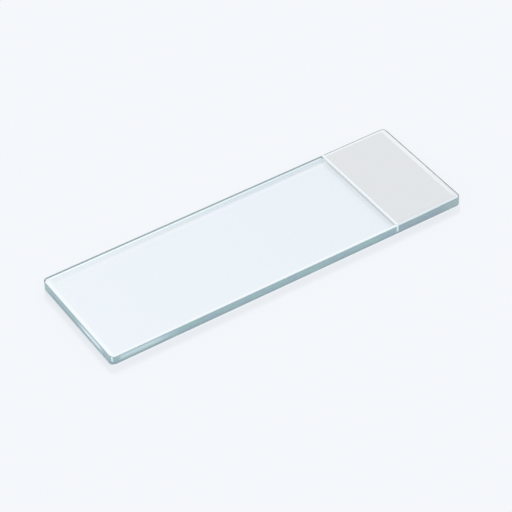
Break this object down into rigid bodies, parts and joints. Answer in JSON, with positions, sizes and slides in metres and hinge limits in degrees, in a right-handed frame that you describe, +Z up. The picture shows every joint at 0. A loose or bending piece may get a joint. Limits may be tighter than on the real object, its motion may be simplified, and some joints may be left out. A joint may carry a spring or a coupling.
{
  "type": "microscope slide",
  "caption": "Flat glass pane with rounded corners and ground edges that holds a specimen under a microscope, with a matt coated end to write on.",
  "frame": {"origin": "centre of the glass pane's underside", "axes": "+X along the pane towards the writing end, +Y across the pane, +Z up through its thickness"},
  "size_m": [0.075, 0.025, 0.0022],
  "materials": {
    "clear_glass": "polished faces, ground teal-grey edges",
    "matt_coat": "fine matt print, slightly translucent"
  },
  "bodies": {
    "root": {"glass_pane": "clear_glass", "writing_coat": "matt_coat"}
  },
  "joints": []
}
